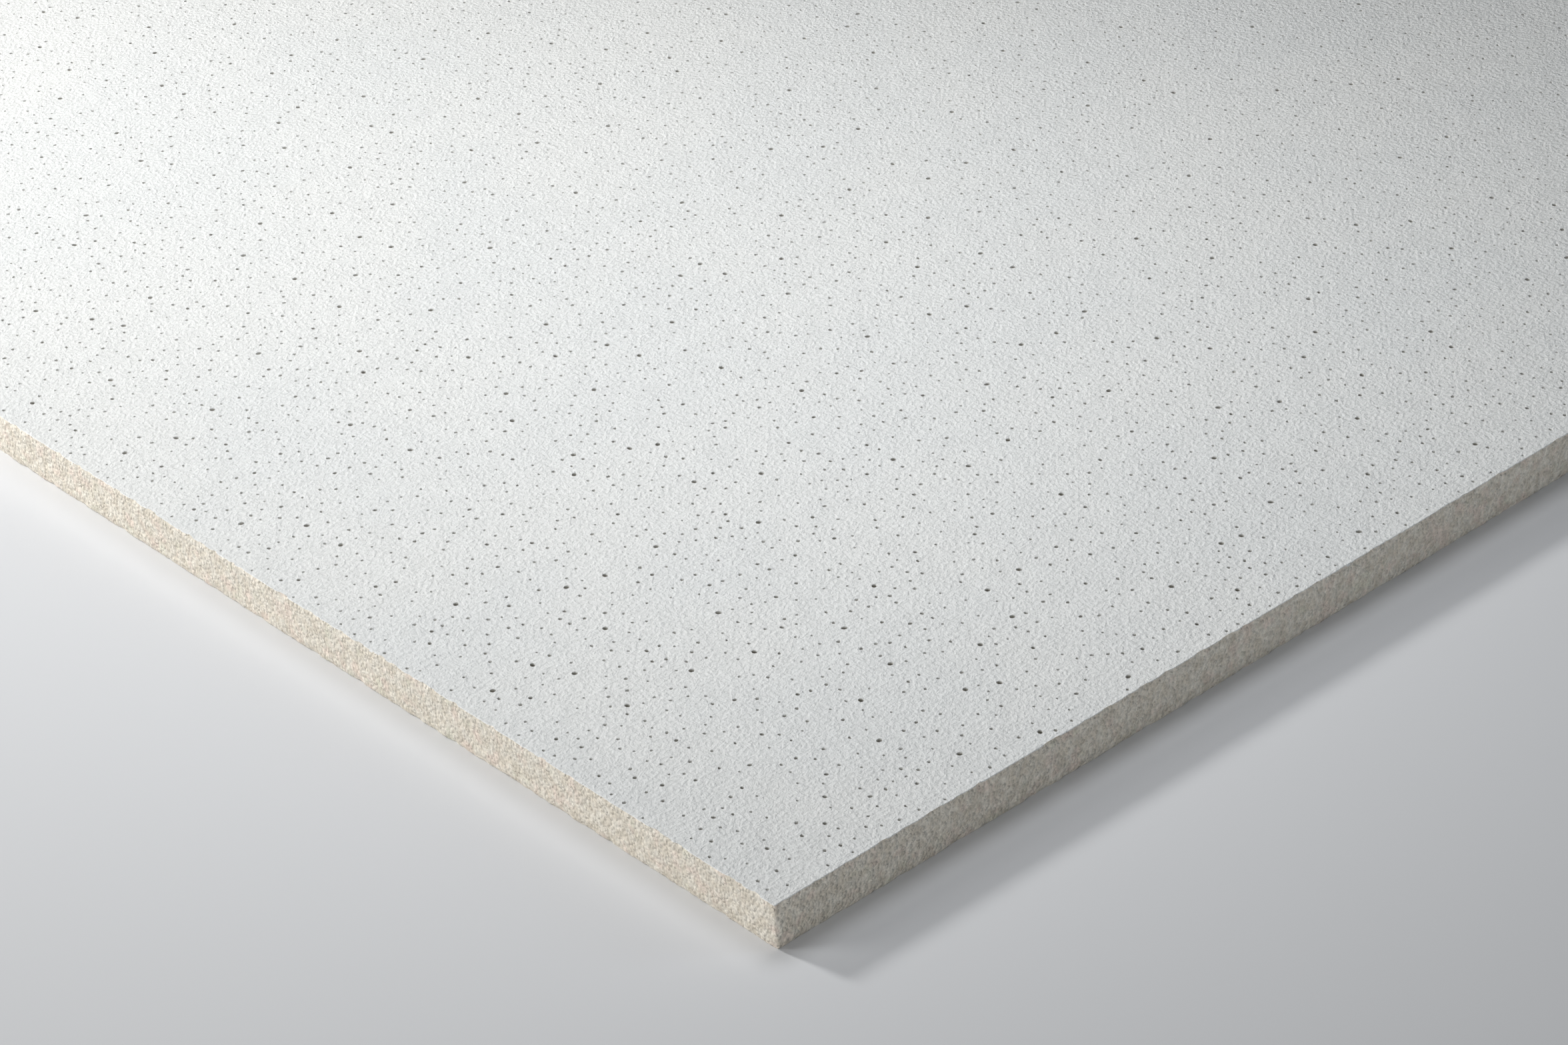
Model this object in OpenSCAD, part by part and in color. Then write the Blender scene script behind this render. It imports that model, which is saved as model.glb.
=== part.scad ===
// Mineral fibre ceiling tile: one felted board, sawn square, with a needled face.
// All sizes are in millimetres. The origin is at the centre of the back face,
// and +Z runs out of the painted, perforated face.

/* [Board] */
// Length of the board, along X
board_length = 595; // [295:5:1195]
// Width of the board, along Y
board_width = 595; // [295:5:1195]
// Thickness of the board, painted face to back
board_thickness = 13; // [10:0.5:25]
// Width of the worn arris along every edge of the board
arris = 0.4; // [0.2:0.1:1.5]

/* [Perforations] */
// Mean spacing of the holes along a row and from row to row
needle_spacing = 18; // [17:1:60]
// Diameter of a hole from a coarse needle
coarse_d = 1.7; // [1:0.1:2.5]
// Diameter of a hole from a fine needle
fine_d = 1.3; // [0.6:0.1:1.5]
// Share of the holes that coarse needles make
coarse_share = 0.4; // [0:0.1:1]
// Depth of a hole below the painted face
needle_depth = 6; // [3:0.5:8]
// Least wall left between two neighbouring holes
needle_wall = 2; // [1:0.5:8]
// Plain margin between the board's edge and the perforated field
plain_margin = 3; // [2:0.5:20]
// Number that picks how the needles are scattered
scatter = 74.7; // [1.7:0.5:99.7]

/* [Hidden] */
// How far a cutting shape runs past the surface that it opens
overrun = 1;
// Length and width of the perforated field
field_length = board_length - 2 * plain_margin;
field_width = board_width - 2 * plain_margin;
// Each needle has a cell of the field to itself
columns = floor(field_length / needle_spacing);
rows = floor(field_width / needle_spacing);
cell_length = field_length / columns;
cell_width = field_width / rows;

// A number from 0 to 1 that depends only on the cell and on what is asked of it
function chance(column, row, question) =
    let (wave = sin(column * 127.1 + row * 311.7 + question * scatter) * 43758.5453)
    wave - floor(wave);

// The diameter of the needle that strikes this cell
function hole_d(column, row) =
    chance(column, row, 3) < coarse_share ? coarse_d : fine_d;

// Where a needle strikes along a field, clear of the holes in the next cells
function strike(cell, field, step, diameter, luck) =
    (cell + 0.5) * step - field / 2 + (luck - 0.5) * (step - diameter - needle_wall);

// A rectangle about the origin with its four corners cut off by the arris
module worn_rectangle(length, width) {
    x = length / 2;
    y = width / 2;
    polygon([
        [x - arris, -y], [x, arris - y], [x, y - arris], [x - arris, y],
        [arris - x, y], [-x, y - arris], [-x, arris - y], [arris - x, -y]
    ]);
}

// The plain board: the same worn rectangle seen from above, from the front and from the side
module board() {
    translate([0, 0, board_thickness / 2])
        intersection() {
            linear_extrude(board_thickness, center = true)
                worn_rectangle(board_length, board_width);
            rotate([90, 0, 0])
                linear_extrude(board_width, center = true)
                    worn_rectangle(board_length, board_thickness);
            rotate([90, 0, 90])
                linear_extrude(board_length, center = true)
                    worn_rectangle(board_width, board_thickness);
        }
}

// The blind hole that one needle leaves below the plane of the painted face
module needle_hole(diameter) {
    translate([0, 0, -needle_depth])
        cylinder(d = diameter, h = needle_depth + overrun, $fn = 24);
}

// The needled field, one hole in each cell
module perforations() {
    for (column = [0 : columns - 1], row = [0 : rows - 1]) {
        d = hole_d(column, row);
        x = strike(column, field_length, cell_length, d, chance(column, row, 1));
        y = strike(row, field_width, cell_width, d, chance(column, row, 2));
        translate([x, y, board_thickness])
            needle_hole(d);
    }
}

module ceiling_tile() {
    color([0.86, 0.86, 0.84])
        difference() {
            board();
            perforations();
        }
}

ceiling_tile();
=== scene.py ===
"""Mineral fibre ceiling tile: a sawn, felted board with a white painted face, needled all over."""
import math
import random

import bmesh
import bpy
import numpy as np
from mathutils import Matrix, Vector, kdtree, noise


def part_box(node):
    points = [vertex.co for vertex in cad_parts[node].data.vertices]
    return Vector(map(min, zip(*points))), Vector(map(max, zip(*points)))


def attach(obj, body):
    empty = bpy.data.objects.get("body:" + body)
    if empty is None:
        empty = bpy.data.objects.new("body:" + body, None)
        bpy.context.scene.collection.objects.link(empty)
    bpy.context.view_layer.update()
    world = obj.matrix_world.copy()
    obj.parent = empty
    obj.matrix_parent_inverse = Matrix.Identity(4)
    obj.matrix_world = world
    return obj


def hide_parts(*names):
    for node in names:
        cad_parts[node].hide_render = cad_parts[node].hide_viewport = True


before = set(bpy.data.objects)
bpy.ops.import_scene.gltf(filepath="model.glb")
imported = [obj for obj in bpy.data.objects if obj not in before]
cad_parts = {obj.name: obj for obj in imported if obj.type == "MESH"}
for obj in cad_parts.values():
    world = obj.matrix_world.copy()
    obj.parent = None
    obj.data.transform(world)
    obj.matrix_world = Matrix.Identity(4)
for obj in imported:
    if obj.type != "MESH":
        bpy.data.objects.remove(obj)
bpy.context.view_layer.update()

MM = 0.001
TILE = "ceiling_tile"
LOW, HIGH = (Vector(corner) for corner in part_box(TILE))
SIZE = HIGH - LOW


# ---------------------------------------------------------------- camera

# The camera stands off the near corner of the board and looks down across it.
NEAR_CORNER = Vector((LOW.x, LOW.y, LOW.z))
STAND_OFF = Vector((-0.5096, -0.6314, 0.6302))
HEADING, TILT, ROLL = math.radians(-39.54), math.radians(57.77), math.radians(-4.29)

lens = bpy.data.cameras.new("camera")
lens.sensor_width = 36
lens.lens = 99.93
lens.clip_start = 0.01
camera = bpy.data.objects.new("camera", lens)
camera.matrix_world = (
    Matrix.Translation(NEAR_CORNER + STAND_OFF)
    @ Matrix.Rotation(HEADING, 4, "Z")
    @ Matrix.Rotation(TILT, 4, "X")
    @ Matrix.Rotation(ROLL, 4, "Z")
)
bpy.context.collection.objects.link(camera)
bpy.context.scene.camera = camera


# ---------------------------------------------------------------- modelling helpers

FLAT = 0.999                # a normal or an edge this close to an axis lies along it


def only(*pieces):
    """Leaves just these pieces selected, the first of them active."""
    bpy.ops.object.select_all(action="DESELECT")
    for piece in pieces:
        piece.select_set(True)
    bpy.context.view_layer.objects.active = pieces[0] if pieces else None


def select(piece, kind, wanted):
    """In edit mode, selects the faces or edges for which wanted(element) is true."""
    bpy.ops.mesh.select_mode(type=kind)
    bpy.ops.mesh.select_all(action="DESELECT")
    shape = bmesh.from_edit_mesh(piece.data)
    for element in {"FACE": shape.faces, "EDGE": shape.edges}[kind]:
        element.select_set(wanted(element))
    shape.select_flush_mode()
    bmesh.update_edit_mesh(piece.data)


def finish_with(piece, kind, **settings):
    """Adds a modifier with these settings and applies it."""
    modifier = piece.modifiers.new(kind.lower(), kind)
    for name, value in settings.items():
        setattr(modifier, name, value)
    only(piece)
    bpy.ops.object.modifier_apply(modifier=modifier.name)


# ---------------------------------------------------------------- finishes

class Socket:
    """An output of a shader node, on which sums can be written."""

    def __init__(self, finish, output):
        self.finish, self.output = finish, output

    def math(self, operation, first, second):
        return self.finish.node(
            "ShaderNodeMath", {"operation": operation}, {0: first, 1: second}
        )

    def __rsub__(self, other):
        return self.math("SUBTRACT", other, self)

    def __mul__(self, other):
        return self.math("MULTIPLY", self, other)


class Finish:
    """A material: how a surface is coloured, how rough it is and what relief it has."""

    def __init__(self, name, constants):
        self.material = bpy.data.materials.new(name)
        self.material.use_nodes = True
        self.tree = self.material.node_tree
        self.shader = self.tree.nodes["Principled BSDF"]
        for socket, value in constants.items():
            self.shader.inputs[socket].default_value = value
        self.place = self.node("ShaderNodeTexCoord", out="Object")

    def node(self, kind, settings={}, sockets={}, out=0):
        """Adds a node, with its settings first and then its sockets' values or links."""
        node = self.tree.nodes.new(kind)
        for name, value in settings.items():
            setattr(node, name, value)
        for name, value in sockets.items():
            if isinstance(value, Socket):
                self.tree.links.new(value.output, node.inputs[name])
            else:
                node.inputs[name].default_value = value
        return Socket(self, node.outputs[out])

    def noise(self, size, detail=2.0, roughness=0.5, shift=0.0):
        """A cloudy number from 0 to 1 whose lumps are about size metres across."""
        place = self.node(
            "ShaderNodeMapping", {}, {"Vector": self.place, "Location": (shift, shift, shift)}
        )
        return self.node(
            "ShaderNodeTexNoise",
            {},
            {"Vector": place, "Scale": 1 / size, "Detail": detail, "Roughness": roughness},
        )

    def grains(self, size, out="Distance"):
        """Loose grains about size metres across: distance from the middle, or a colour each."""
        return self.node(
            "ShaderNodeTexVoronoi", {}, {"Vector": self.place, "Scale": 1 / size}, out
        )

    def red_of(self, colour):
        """The first channel of a colour, as a number."""
        return self.node("ShaderNodeSeparateColor", {}, {0: colour}, "Red")

    def depth(self):
        """How far below the painted face a point lies, in metres."""
        return HIGH.z - self.node("ShaderNodeSeparateXYZ", {}, {0: self.place}, "Z")

    def step(self, value, low, high, first=0.0, last=1.0):
        """Goes smoothly from first to last as value goes from low to high."""
        return self.node(
            "ShaderNodeMapRange",
            {"interpolation_type": "SMOOTHSTEP"},
            {"Value": value, "From Min": low, "From Max": high, "To Min": first, "To Max": last},
        )

    def blend(self, share, first, second, way="MIX"):
        """Mixes two colours."""
        colour_a, colour_b, colour_out = 6, 7, 2
        return self.node(
            "ShaderNodeMix",
            {"data_type": "RGBA", "blend_type": way},
            {0: share, colour_a: first, colour_b: second},
            colour_out,
        )

    def toned(self, colour, tone):
        """A colour times a number."""
        grey = self.node("ShaderNodeCombineColor", {}, {0: tone, 1: tone, 2: tone})
        return self.blend(1.0, colour, grey, "MULTIPLY")

    def wear(self, colour, roughness=None, *reliefs):
        """Gives the surface its colour, its roughness and any number of (height, depth) reliefs."""
        self.tree.links.new(colour.output, self.shader.inputs["Base Color"])
        if roughness:
            self.tree.links.new(roughness.output, self.shader.inputs["Roughness"])
        normal = None
        for height, depth in reliefs:
            sockets = {"Height": height, "Distance": depth, "Strength": 1.0}
            if normal:
                sockets["Normal"] = normal
            normal = self.node("ShaderNodeBump", {}, sockets)
        if normal:
            self.tree.links.new(normal.output, self.shader.inputs["Normal"])
        return self.material


# Colours of the paint, of the fibre under it and of the walls of a hole, whose darker wall colours
# are painted shade
THIN_WHITE, FULL_WHITE = (0.84, 0.853, 0.85, 1), (0.862, 0.87, 0.861, 1)
DARK_CREAM, PALE_CREAM = (0.84, 0.77, 0.655, 1), (0.945, 0.89, 0.785, 1)
ROSY, MOSSY = (0.94, 0.80, 0.70, 1), (0.82, 0.82, 0.67, 1)
# Painted shade: below the rim a hole's walls are darker than the bare fibre, darkest at the bottom.
RIM_WHITE, SHADED_FIBRE, DEEP_SHADE = (0.78, 0.79, 0.78, 1), (0.51, 0.49, 0.44, 1), (0.40, 0.37, 0.32, 1)


def painted_face():
    """Two rolled coats of matt white: faint orange peel, and more or less paint in patches."""
    paint = Finish("painted_face", {"Specular IOR Level": 0.35})
    peel = paint.noise(1.2 * MM, detail=3.5, roughness=0.6)
    drift = paint.noise(9 * MM, detail=3.0, shift=3.1)
    patch = paint.noise(60 * MM, detail=2.0, shift=7.7)
    white = paint.blend(paint.step(patch, 0.35, 0.65), THIN_WHITE, FULL_WHITE)
    tone = paint.step(drift, 0.3, 0.7, 0.975, 1.005) * paint.step(peel, 0.32, 0.68, 0.935, 1.03)
    roughness = paint.step(peel, 0.3, 0.7, 0.62, 0.74)
    return paint.wear(paint.toned(white, tone), roughness, (peel, 0.58 * MM), (drift, 0.3 * MM))


def bare_fibre(name, grain_depth, clump_depth):
    """Felted mineral wool, clay and starch: cream granules, with warmer and greener clumps."""
    fibre = Finish(name, {"Specular IOR Level": 0.2})
    clump = fibre.noise(3.2 * MM, detail=2.0)
    rosy = fibre.noise(4.6 * MM, detail=2.0, shift=2.3)
    mossy = fibre.noise(5.5 * MM, detail=2.0, shift=5.9)
    granule = fibre.grains(1.15 * MM)
    tint = fibre.red_of(fibre.grains(1.15 * MM, "Color"))
    speck = fibre.noise(0.7 * MM, detail=1.0, shift=9.2)
    cream = fibre.blend(fibre.step(clump, 0.35, 0.65), DARK_CREAM, PALE_CREAM)
    cream = fibre.blend(fibre.step(rosy, 0.5, 0.72, 0.0, 0.7), cream, ROSY)
    cream = fibre.blend(fibre.step(mossy, 0.56, 0.76, 0.0, 0.5), cream, MOSSY)
    tone = fibre.step(tint, 0.0, 1.0, 0.88, 1.04) * fibre.step(speck, 0.3, 0.7, 0.91, 1.03)
    mound = fibre.step(granule, 0.0, 0.7, 1.0, 0.0)
    return fibre.wear(
        fibre.toned(cream, tone),
        fibre.step(speck, 0.2, 0.8, 0.85, 1.0),
        (clump, clump_depth),
        (mound, grain_depth),
        (speck, 0.5 * grain_depth),
    )


def needle_hole():
    """White where the paint runs over the rim, then bare fibre darkened with depth as painted
    shade.
    """
    hole = Finish("needle_hole", {"Roughness": 0.95, "Specular IOR Level": 0.1})
    depth = hole.depth()
    # Paint at the rim gives way to fibre (real), then painted shade darkens the walls with depth.
    colour = hole.blend(hole.step(depth, 0.09 * MM, 0.68 * MM), RIM_WHITE, SHADED_FIBRE)
    return hole.wear(hole.blend(hole.step(depth, 1.0 * MM, 5.0 * MM), colour, DEEP_SHADE))


PAINT, FIBRE, HOLE, BACK = range(4)
FINISHES = [
    painted_face(),
    bare_fibre("sawn_fibre", grain_depth=0.42 * MM, clump_depth=0.5 * MM),
    needle_hole(),
    bare_fibre("felted_back", grain_depth=0.10 * MM, clump_depth=0.25 * MM),
]


# ---------------------------------------------------------------- the board

ARRIS = 0.45 * MM           # rounding of the sawn and painted edges
STEPS_ALONG = (20, 21)      # two rounds of cuts along a side, 462 steps in all
STEPS_UP = 9                # cuts up a side
PATCHES = 20                # patches along and across the painted face
PAINTED_FROM = 0.6          # the paint runs over facets whose normals rise more than this
BACK_FROM = -0.9            # the back's facets are those whose normals fall more than this
SIDES = {"left_side": (0, -1), "right_side": (0, 1), "near_side": (1, -1), "far_side": (1, 1)}


def runs_along(edge, axis):
    """Whether an edge lies along the axis with that number and isn't just part of an arris."""
    way = edge.verts[1].co - edge.verts[0].co
    return way.length > 2 * ARRIS and abs(way.normalized()[axis]) > FLAT


def plain_board():
    """The board with rounded arrises, its four sides divided finely enough to carve."""
    only()
    bpy.ops.mesh.primitive_cube_add(size=1, location=(LOW + HIGH) / 2)
    board = bpy.context.object
    board.name = "tile_board"
    board.scale = SIZE
    bpy.ops.object.transform_apply(location=True, rotation=True, scale=True)
    bpy.ops.object.mode_set(mode="EDIT")
    bpy.ops.mesh.select_all(action="SELECT")
    bpy.ops.mesh.bevel(offset=ARRIS, segments=2, affect="EDGES")

    # The two broad faces go while the sides are divided, and come back as single flat faces.
    select(board, "FACE", lambda face: face.calc_area() > 0.5 * SIZE.x * SIZE.y)
    bpy.ops.mesh.delete(type="ONLY_FACE")
    for axis, cuts in ((0, STEPS_ALONG), (1, STEPS_ALONG), (2, (STEPS_UP,))):
        for number in cuts:
            select(board, "EDGE", lambda edge: runs_along(edge, axis))
            bpy.ops.mesh.subdivide(number_cuts=number)
    bpy.ops.mesh.select_mode(type="EDGE")
    bpy.ops.mesh.select_all(action="DESELECT")
    bpy.ops.mesh.select_non_manifold()
    bpy.ops.mesh.fill_holes(sides=0)
    bpy.ops.mesh.select_all(action="SELECT")
    bpy.ops.mesh.normals_make_consistent(inside=False)

    # The painted face is cut into patches, so that each takes only a few needles.
    for axis in (0, 1):
        for line in range(1, PATCHES):
            select(board, "FACE", lambda face: face.normal.z > FLAT)
            place, way = Vector((0, 0, HIGH.z)), Vector((0, 0, 0))
            place[axis] = LOW[axis] + SIZE[axis] * line / PATCHES
            way[axis] = 1
            bpy.ops.mesh.bisect(plane_co=place, plane_no=way)
    bpy.ops.object.mode_set(mode="OBJECT")
    return board


def lumps(name, size, noise_depth=2, contrast=1.0, intensity=1.0):
    """A texture of lumps about size metres across, for carving."""
    texture = bpy.data.textures.new(name, "CLOUDS")
    texture.noise_scale, texture.noise_depth = size, noise_depth
    texture.contrast, texture.intensity = contrast, intensity
    texture.use_clamp = True
    return texture


# A point this near to the plane of a broad face is on its rim, on its arris or in the band of the
# side that has lost crumbs, and each takes its share of the relief.
ON_RIM, ON_ARRIS, IN_BAND = 0.05 * ARRIS, 1.1 * ARRIS, 1.4 * MM
SIDE_SHARE_ON_RIM = 0.45
CRUMB_SHARE_ON_RIM, CRUMB_SHARE_ON_ARRIS, CRUMB_SHARE_IN_BAND = 0.7, 1.0, 0.5


def carve_sides(board):
    """Pulls the sawn sides in by the depth of their granules, clumps and lost crumbs."""
    reliefs = (
        (lumps("clumps", 5 * MM), 0.20 * MM, ""),
        (lumps("granules", 1.9 * MM, noise_depth=1), 0.32 * MM, ""),
        (lumps("crumbs", 4 * MM, contrast=4.0, intensity=0.55), 0.48 * MM, "_edge"),
    )
    points = [vertex.co.copy() for vertex in board.data.vertices]
    for side, (axis, sign) in SIDES.items():
        face = HIGH[axis] if sign > 0 else -LOW[axis]
        whole = board.vertex_groups.new(name=side)
        edge = board.vertex_groups.new(name=side + "_edge")
        for index, point in enumerate(points):
            if point[axis] * sign < face - 1.01 * ARRIS:    # not on this side or its arrises
                continue
            to_rim = min(point.z - LOW.z, HIGH.z - point.z)
            whole.add([index], SIDE_SHARE_ON_RIM if to_rim < ON_RIM else 1.0, "REPLACE")
            if to_rim < ON_RIM:
                edge.add([index], CRUMB_SHARE_ON_RIM, "REPLACE")
            elif to_rim < ON_ARRIS:
                edge.add([index], CRUMB_SHARE_ON_ARRIS, "REPLACE")
            elif to_rim < IN_BAND:
                edge.add([index], CRUMB_SHARE_IN_BAND, "REPLACE")
        for texture, depth, group in reliefs:
            finish_with(
                board, "DISPLACE", texture=texture, texture_coords="LOCAL",
                direction="XY"[axis], mid_level=0.0, strength=-sign * depth,
                vertex_group=side + group,
            )
    board.vertex_groups.clear()


# ---------------------------------------------------------------- the needled face

FINE_NEEDLES = 8400         # the fine holes between the deep ones
CLEAR = 3.5 * MM            # least distance between the middles of two holes
EDGE_CLEAR = 1.05 * MM      # least distance from a hole's rim to the board's edge
OVAL = 0.14                 # most that a hole is wider one way and narrower the other
LEAN = 0.07                 # usual lean of a needle, as a slope
RING = 1.85 * MM            # wider than a deep hole, narrower than the way to the next one
SKIN = 1 * MM               # what is left out at the board's surface when looking for holes


def deep_holes():
    """Where the deep holes are, and how wide and deep: read from the tile's CAD node."""
    mesh = bpy.data.objects[TILE].data
    points = np.empty(3 * len(mesh.vertices), np.float32)
    mesh.vertices.foreach_get("co", points)
    points = points.reshape(-1, 3)
    inside = points[(points[:, 2] > LOW.z + SKIN) & (points[:, 2] < HIGH.z - SKIN)]
    inside = inside[(np.abs(inside[:, 0]) < HIGH.x - SKIN) & (np.abs(inside[:, 1]) < HIGH.y - SKIN)]
    tree = kdtree.KDTree(len(inside))
    for index, point in enumerate(inside):
        tree.insert(point, index)
    tree.balance()
    holes, seen = [], np.zeros(len(inside), bool)
    for index, point in enumerate(inside):
        if not seen[index]:
            ring = [i for _, i, _ in tree.find_range(point, RING)]
            seen[ring] = True
            low, high = inside[ring].min(axis=0), inside[ring].max(axis=0)
            x, y = (low + high)[:2] / 2
            holes.append((float(x), float(y), float(high[0] - low[0]) / 2, float(HIGH.z - low[2])))
    return holes


def crowd(x, y):
    """How thickly the fine needles strike: in clouds, and thicker towards the near corner."""
    wide = noise.noise(Vector((x, y, 0)) / (22 * MM))
    narrow = noise.noise(Vector((x, y, 1)) / (9 * MM))
    return 0.72 + 0.5 * (wide + 0.6 * narrow) - 0.2 * (x + y) / SIZE.x


def fine_holes(deep, chance):
    """Scatters the fine needles between the deep holes, clear of them and of each other."""
    grid = {}

    def cell(x, y):
        return int(x // CLEAR), int(y // CLEAR)

    def keep(x, y):
        grid.setdefault(cell(x, y), []).append((x, y))

    def is_free(x, y):
        column, row = cell(x, y)
        return not any(
            math.hypot(x - a, y - b) < CLEAR
            for i in (column - 1, column, column + 1)
            for j in (row - 1, row, row + 1)
            for a, b in grid.get((i, j), ())
        )

    for x, y, _, _ in deep:
        keep(x, y)
    holes = []
    while len(holes) < FINE_NEEDLES:
        luck = chance.random()
        radius = (0.47 + 0.29 * luck ** 1.3) * MM
        margin = EDGE_CLEAR + (1 + OVAL) * radius
        x = chance.uniform(LOW.x + margin, HIGH.x - margin)
        y = chance.uniform(LOW.y + margin, HIGH.y - margin)
        if chance.random() <= crowd(x, y) and is_free(x, y):
            keep(x, y)
            holes.append((x, y, radius, (1.8 + 2.8 * luck * chance.random()) * MM))
    return holes


def needle(sides, shank, taper):
    """A needle of radius 1 and length 1, point down, modelled about the painted face.

    Its shank goes down to the depth of that name, where it has narrowed to taper. With no shank
    it narrows to its point all the way.
    """
    above = 0.1
    only()
    bpy.ops.mesh.primitive_cylinder_add(
        vertices=sides, radius=1, depth=above + max(shank, above), end_fill_type="NGON"
    )
    tool = bpy.context.object
    tool.location.z = (above - max(shank, above)) / 2
    bpy.ops.object.transform_apply(location=True, rotation=True, scale=True)
    bpy.ops.object.mode_set(mode="EDIT")
    select(tool, "FACE", lambda face: face.normal.z < -FLAT)
    if shank:
        bpy.ops.transform.resize(value=(taper, taper, 1))
        bpy.ops.mesh.extrude_region_move(TRANSFORM_OT_translate={"value": (0, 0, shank - 1)})
    else:
        bpy.ops.transform.translate(value=(0, 0, above - 1))
    bpy.ops.mesh.merge(type="COLLAPSE")
    bpy.ops.mesh.select_all(action="SELECT")
    bpy.ops.mesh.normals_make_consistent(inside=False)
    bpy.ops.object.mode_set(mode="OBJECT")
    return tool


def struck(tool, holes, chance):
    """A joined copy of the needle for each hole, turned, leaned and flattened by chance."""
    shape = tool.data
    points = np.array([vertex.co for vertex in shape.vertices])
    faces = [list(face.vertices) for face in shape.polygons]
    places = []
    for x, y, radius, depth in holes:
        turn, oval = chance.uniform(0, math.tau), chance.uniform(0.0, OVAL)
        lean_x, lean_y = chance.gauss(0, LEAN), chance.gauss(0, LEAN)
        wide = points * (radius * (1 + oval), radius * (1 - oval), depth)
        turned = wide @ np.array(Matrix.Rotation(-turn, 3, "Z"))
        turned[:, 0] += lean_x * turned[:, 2]
        turned[:, 1] += lean_y * turned[:, 2]
        places.append(turned + (x, y, HIGH.z))
    mesh = bpy.data.meshes.new("needles")
    count = len(points)
    mesh.from_pydata(
        np.concatenate(places).tolist(), [],
        [[index + count * copy for index in face] for copy in range(len(holes)) for face in faces],
    )
    bpy.data.objects.remove(tool)
    needles = bpy.data.objects.new("needles", mesh)
    bpy.context.collection.objects.link(needles)
    return needles


def needled(board):
    """Strikes every needle into the painted face, and says where."""
    chance = random.Random(74)
    deep = deep_holes()
    fine = fine_holes(deep, chance)
    only(
        struck(needle(sides=8, shank=0.8, taper=0.8), deep, chance),
        struck(needle(sides=5, shank=0, taper=0), fine, chance),
    )
    bpy.ops.object.join()
    tools = bpy.context.object
    for piece in (board, tools):
        for material in FINISHES:
            piece.data.materials.append(material)
    tools.data.polygons.foreach_set("material_index", [HOLE] * len(tools.data.polygons))
    for face in board.data.polygons:
        up = face.normal.z
        face.material_index = PAINT if up > PAINTED_FROM else BACK if up < BACK_FROM else FIBRE
    finish_with(board, "BOOLEAN", operation="DIFFERENCE", solver="MANIFOLD", object=tools)
    bpy.data.objects.remove(tools)
    return deep + fine


# The layout of the board's surface on a square of side 1: the lowest corner and the size of the
# painted face, of the back and of the strips for half a side each, and the patch for all holes.
FACE_CORNER, FACE_SPAN = (0.005, 0.005), 0.68
BACK_CORNER, BACK_SPAN = (0.695, 0.005), 0.30
STRIP_CORNER, STRIP_LENGTH, STRIP_HEIGHT, STRIP_STEP = (0.005, 0.70), 0.985, 0.0335, 0.0372
HOLE_MIDDLE, HOLE_SPAN, HOLE_NARROWING, HOLE_REACH = (0.845, 0.505), 0.15, 0.94, 6.4 * MM


def lay_out(board, holes):
    """Lays the surface out flat: sides in half-length strips, faces whole, holes on one patch."""
    mesh = board.data
    mesh.name = "tile_board"

    def read(items, name, kind, wide=1):
        values = np.empty(len(items) * wide, kind)
        items.foreach_get(name, values)
        return values.reshape(-1, wide) if wide > 1 else values

    corners = read(mesh.loops, "vertex_index", int)
    points = read(mesh.vertices, "co", float, 3)[corners]
    starts, sizes = (read(mesh.polygons, name, int) for name in ("loop_start", "loop_total"))
    finish = read(mesh.polygons, "material_index", int)
    normal = read(mesh.polygons, "normal", float, 3)
    middle = np.add.reduceat(points, starts) / sizes[:, None]
    face = np.repeat(np.arange(len(starts)), sizes)
    finish, normal, middle = finish[face], normal[face], middle[face]
    share = (points - LOW) / SIZE

    flat = FACE_CORNER + FACE_SPAN * share[:, :2]
    back = (normal[:, 2] < BACK_FROM) & (finish == BACK)
    flat[back] = BACK_CORNER + BACK_SPAN * share[back, :2]
    for row, (axis, sign) in enumerate(SIDES.values()):
        faces_out = normal[:, axis] * sign > np.abs(normal[:, 1 - axis])
        side = (finish == FIBRE) & faces_out
        for half in (0, 1):
            strip = side & ((middle[:, 1 - axis] > 0) == bool(half))
            along = 2 * share[strip, 1 - axis] - half
            flat[strip, 0] = STRIP_CORNER[0] + STRIP_LENGTH * along
            flat[strip, 1] = (
                STRIP_CORNER[1] + STRIP_STEP * (2 * row + half) + STRIP_HEIGHT * share[strip, 2]
            )

    in_hole = finish == HOLE
    tree = kdtree.KDTree(len(holes))
    for index, (x, y, _, _) in enumerate(holes):
        tree.insert((x, y, 0), index)
    tree.balance()
    centres = np.array([tree.find((x, y, 0))[0][:2] for x, y, _ in middle[in_hole]])
    away = points[in_hole, :2] - centres
    way = np.arctan2(away[:, 1], away[:, 0])
    down = np.clip((HIGH.z - points[in_hole, 2]) / HOLE_REACH, 0, 1)
    reach = HOLE_SPAN * (1 - HOLE_NARROWING * down)
    flat[in_hole] = HOLE_MIDDLE + np.stack((reach * np.cos(way), reach * np.sin(way)), 1)

    while mesh.uv_layers:
        mesh.uv_layers.remove(mesh.uv_layers[0])
    mesh.uv_layers.new(name="OFBake").data.foreach_set("uv", flat.ravel())


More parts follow.
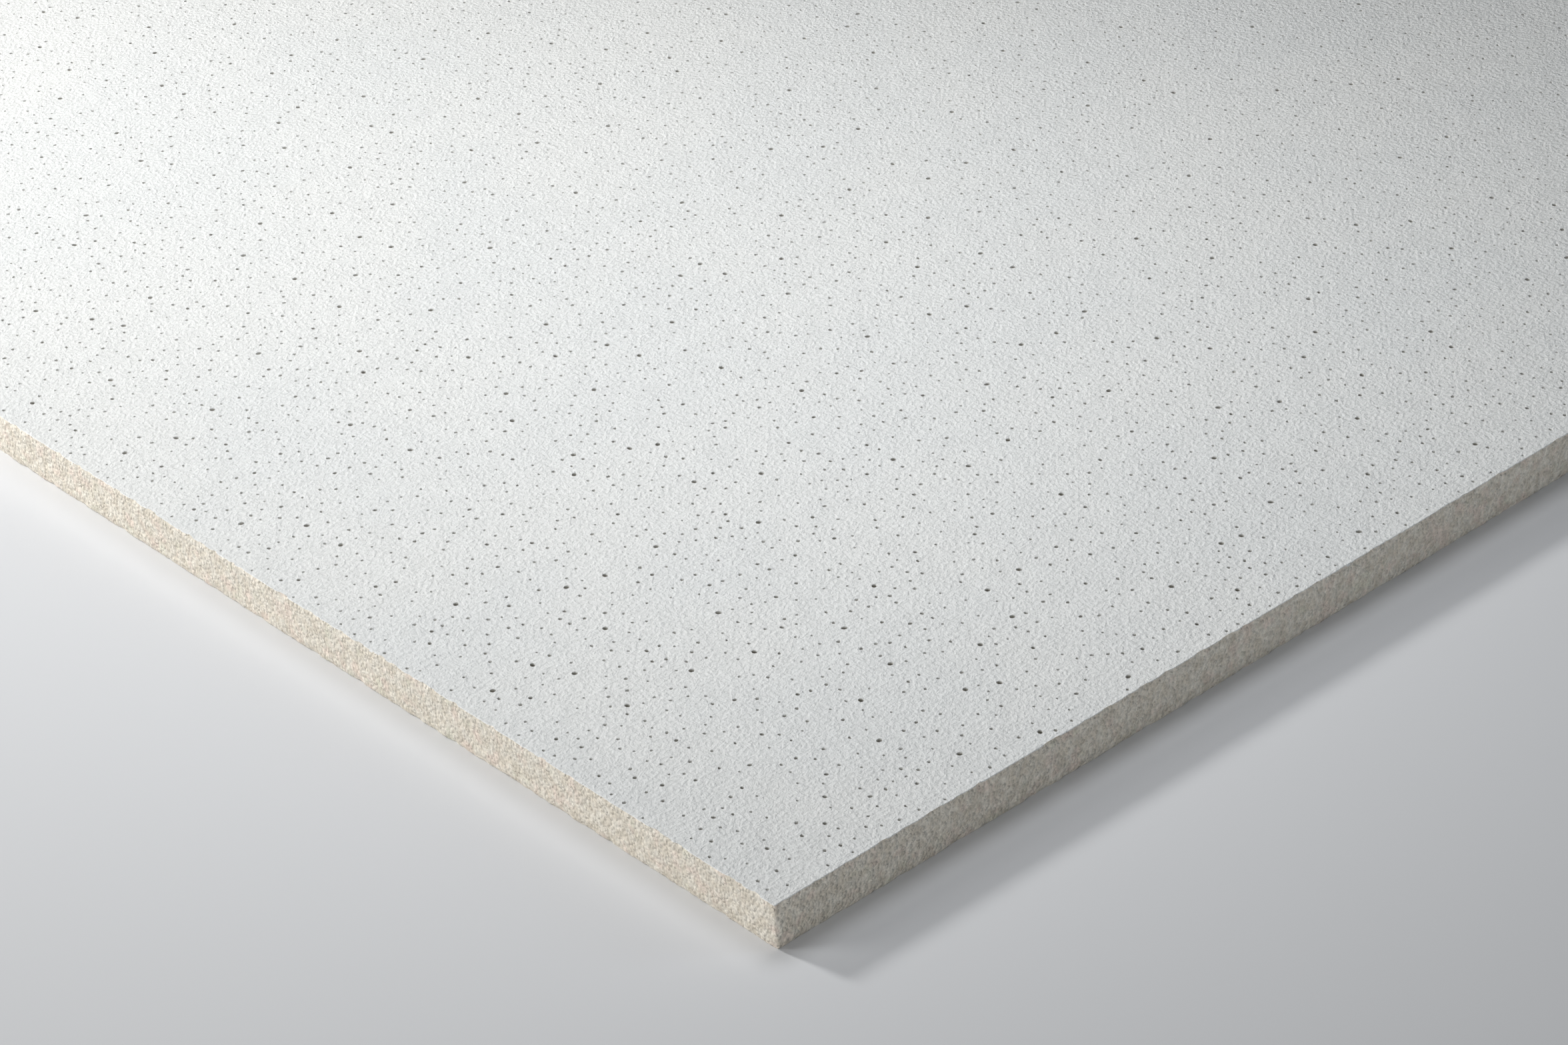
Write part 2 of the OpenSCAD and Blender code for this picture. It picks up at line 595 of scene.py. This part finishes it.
def smooth(board):
    """Smooths the carved sides and keeps the painted face, the back and every rim crisp."""
    def is_level(face):
        return abs(face.normal.z) > FLAT

    only(board)
    bpy.ops.object.shade_smooth_by_angle(angle=math.radians(65))
    bpy.ops.object.mode_set(mode="EDIT")
    select(board, "EDGE", lambda edge: len({is_level(face) for face in edge.link_faces}) == 2)
    bpy.ops.mesh.mark_sharp()
    bpy.ops.object.mode_set(mode="OBJECT")


board = plain_board()
carve_sides(board)
lay_out(board, needled(board))
smooth(board)
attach(board, "root")
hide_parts(TILE)


# ---------------------------------------------------------------- floor and light

FLOOR_GAP = 0.02 * MM       # the floor lies this far below the back of the board

only()
bpy.ops.mesh.primitive_plane_add(size=8, location=(0, 0, LOW.z - FLOOR_GAP))
floor = bpy.context.object
floor.name = "floor"
floor_finish = Finish(
    "floor",
    {"Base Color": (0.755, 0.764, 0.782, 1), "Roughness": 0.9, "Specular IOR Level": 0.1},
)
floor.data.materials.append(floor_finish.material)


def lamp(name, place, aim, size, power, colour, spread=180):
    """A round soft lamp at a place, turned towards aim, that the camera doesn't see."""
    light = bpy.data.lights.new(name, "AREA")
    light.shape, light.size, light.energy, light.color = "DISK", size, power, colour
    light.spread = math.radians(spread)
    holder = bpy.data.objects.new(name, light)
    turn = (Vector(aim) - Vector(place)).to_track_quat("-Z", "Y")
    holder.matrix_world = Matrix.Translation(place) @ turn.to_matrix().to_4x4()
    holder.visible_camera = False
    bpy.context.collection.objects.link(holder)


lamp("key_lamp", (-0.463, 0.586, 0.536), (-0.02, 0, 0), 0.15, 2.36, (1, 0.995, 0.98), spread=110)
lamp("left_lamp", (-1.30, -0.60, 0.45), (-0.25, -0.2, 0), 0.5, 3.9, (1, 1, 0.99))
lamp("side_lamp", (-1.00, 0.35, 0.50), (-0.28, 0, 0), 0.4, 2.82, (1, 1, 0.99))
lamp("right_lamp", (0.55, -1.00, 0.34), (0, -0.29, 0), 0.4, 1.6, (0.86, 0.93, 1))
lamp("overhead_lamp", (-0.133, -0.139, 0.40), (-0.133, -0.139, 0), 0.25, 0.62, (0.97, 0.985, 1))

world = bpy.data.worlds.new("studio")
world.use_nodes = True
sky = world.node_tree.nodes["Background"]
sky.inputs["Color"].default_value = (0.92, 0.95, 1.0, 1)
sky.inputs["Strength"].default_value = 0.01
bpy.context.scene.world = world
bpy.context.scene.view_settings.view_transform = "Standard"
